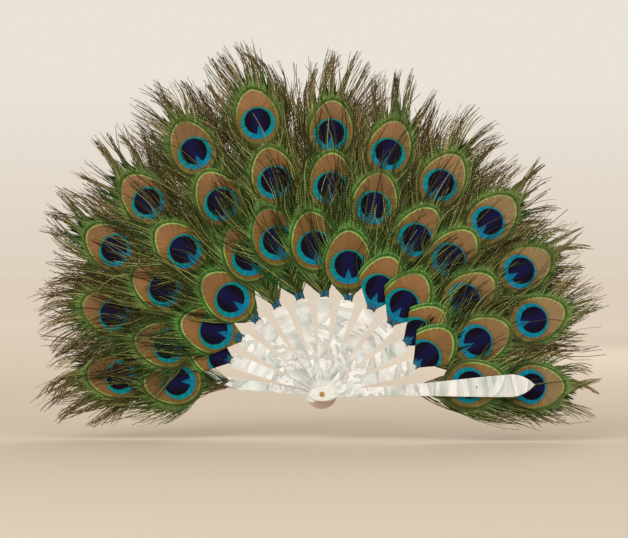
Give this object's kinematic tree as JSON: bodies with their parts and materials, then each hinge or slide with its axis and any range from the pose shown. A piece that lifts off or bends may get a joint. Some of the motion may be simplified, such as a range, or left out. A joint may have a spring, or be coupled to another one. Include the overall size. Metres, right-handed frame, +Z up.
{
  "type": "folding feather fan",
  "caption": "Folding hand fan standing open: tapered mother-of-pearl sticks turn on one rivet between two broad leaf-shaped guards and carry tiers of peacock eye feathers.",
  "frame": {"origin": "middle of the rivet on which all the blades turn", "axes": "the open fan lies across XZ: +X towards the front guard's tip, +Z up towards the longest feathers, -Y towards the viewer of the front guard"},
  "size_m": [0.5439, 0.0554, 0.3736],
  "materials": {
    "pearl": "polished mother-of-pearl, cloudy white with faint pink and green",
    "outer_feather": "loose olive-brown barbs, bronze eye with a blue heart",
    "middle_feather": "green barbs, bronze eye with a blue heart",
    "inner_feather": "short green barbs, bronze eye with a blue heart, blue tuft at the base",
    "rivet": "polished gold-coloured metal, faceted front head"
  },
  "bodies": {
    "rear_guard": {"rear_guard": "pearl", "outer_feather_00": "outer_feather", "middle_feather_00": "middle_feather", "rivet_pin": "rivet", "front_rivet_head": "rivet", "rear_rivet_head": "rivet"},
    "blade_01": {"stick_01": "pearl", "outer_feather_01": "outer_feather", "middle_feather_01": "middle_feather", "inner_feather_01": "inner_feather"},
    "blade_02": {"stick_02": "pearl", "outer_feather_02": "outer_feather", "middle_feather_02": "middle_feather", "inner_feather_02": "inner_feather"},
    "blade_03": {"stick_03": "pearl", "outer_feather_03": "outer_feather", "middle_feather_03": "middle_feather", "inner_feather_03": "inner_feather"},
    "blade_04": {"stick_04": "pearl", "outer_feather_04": "outer_feather", "middle_feather_04": "middle_feather", "inner_feather_04": "inner_feather"},
    "blade_05": {"stick_05": "pearl", "outer_feather_05": "outer_feather", "middle_feather_05": "middle_feather", "inner_feather_05": "inner_feather"},
    "blade_06": {"stick_06": "pearl", "outer_feather_06": "outer_feather", "middle_feather_06": "middle_feather", "inner_feather_06": "inner_feather"},
    "blade_07": {"stick_07": "pearl", "outer_feather_07": "outer_feather", "middle_feather_07": "middle_feather", "inner_feather_07": "inner_feather"},
    "blade_08": {"stick_08": "pearl", "outer_feather_08": "outer_feather", "middle_feather_08": "middle_feather", "inner_feather_08": "inner_feather"},
    "blade_09": {"stick_09": "pearl", "outer_feather_09": "outer_feather", "middle_feather_09": "middle_feather", "inner_feather_09": "inner_feather"},
    "blade_10": {"stick_10": "pearl", "outer_feather_10": "outer_feather", "middle_feather_10": "middle_feather", "inner_feather_10": "inner_feather"},
    "blade_11": {"stick_11": "pearl", "outer_feather_11": "outer_feather", "middle_feather_11": "middle_feather", "inner_feather_11": "inner_feather"},
    "front_guard": {"front_guard": "pearl", "outer_feather_12": "outer_feather", "middle_feather_12": "middle_feather"}
  },
  "joints": [
    {"name": "front_guard_fold", "type": "hinge", "parent": "rear_guard", "child": "front_guard", "pos_m": [0, 0, 0], "axis": [0, -1, 0], "range_deg": [0, 171.6]},
    {"name": "blade_01_fold", "type": "hinge", "parent": "rear_guard", "child": "blade_01", "pos_m": [0, 0, 0], "axis": [0, -1, 0], "range_deg": [0, 14.35]},
    {"name": "blade_02_fold", "type": "hinge", "parent": "rear_guard", "child": "blade_02", "pos_m": [0, 0, 0], "axis": [0, -1, 0], "range_deg": [0, 28.65]},
    {"name": "blade_03_fold", "type": "hinge", "parent": "rear_guard", "child": "blade_03", "pos_m": [0, 0, 0], "axis": [0, -1, 0], "range_deg": [0, 42.95]},
    {"name": "blade_04_fold", "type": "hinge", "parent": "rear_guard", "child": "blade_04", "pos_m": [0, 0, 0], "axis": [0, -1, 0], "range_deg": [0, 57.25]},
    {"name": "blade_05_fold", "type": "hinge", "parent": "rear_guard", "child": "blade_05", "pos_m": [0, 0, 0], "axis": [0, -1, 0], "range_deg": [0, 71.55]},
    {"name": "blade_06_fold", "type": "hinge", "parent": "rear_guard", "child": "blade_06", "pos_m": [0, 0, 0], "axis": [0, -1, 0], "range_deg": [0, 85.85]},
    {"name": "blade_07_fold", "type": "hinge", "parent": "rear_guard", "child": "blade_07", "pos_m": [0, 0, 0], "axis": [0, -1, 0], "range_deg": [0, 100.15]},
    {"name": "blade_08_fold", "type": "hinge", "parent": "rear_guard", "child": "blade_08", "pos_m": [0, 0, 0], "axis": [0, -1, 0], "range_deg": [0, 114.45]},
    {"name": "blade_09_fold", "type": "hinge", "parent": "rear_guard", "child": "blade_09", "pos_m": [0, 0, 0], "axis": [0, -1, 0], "range_deg": [0, 128.75]},
    {"name": "blade_10_fold", "type": "hinge", "parent": "rear_guard", "child": "blade_10", "pos_m": [0, 0, 0], "axis": [0, -1, 0], "range_deg": [0, 143.05]},
    {"name": "blade_11_fold", "type": "hinge", "parent": "rear_guard", "child": "blade_11", "pos_m": [0, 0, 0], "axis": [0, -1, 0], "range_deg": [0, 157.35]}
  ],
  "couplings": [
    {"joint": "blade_01_fold", "follows": "front_guard_fold", "ratio": 0.083333},
    {"joint": "blade_02_fold", "follows": "front_guard_fold", "ratio": 0.16667},
    {"joint": "blade_03_fold", "follows": "front_guard_fold", "ratio": 0.25},
    {"joint": "blade_04_fold", "follows": "front_guard_fold", "ratio": 0.33333},
    {"joint": "blade_05_fold", "follows": "front_guard_fold", "ratio": 0.41667},
    {"joint": "blade_06_fold", "follows": "front_guard_fold", "ratio": 0.5},
    {"joint": "blade_07_fold", "follows": "front_guard_fold", "ratio": 0.58333},
    {"joint": "blade_08_fold", "follows": "front_guard_fold", "ratio": 0.66667},
    {"joint": "blade_09_fold", "follows": "front_guard_fold", "ratio": 0.75},
    {"joint": "blade_10_fold", "follows": "front_guard_fold", "ratio": 0.83333},
    {"joint": "blade_11_fold", "follows": "front_guard_fold", "ratio": 0.91667}
  ]
}
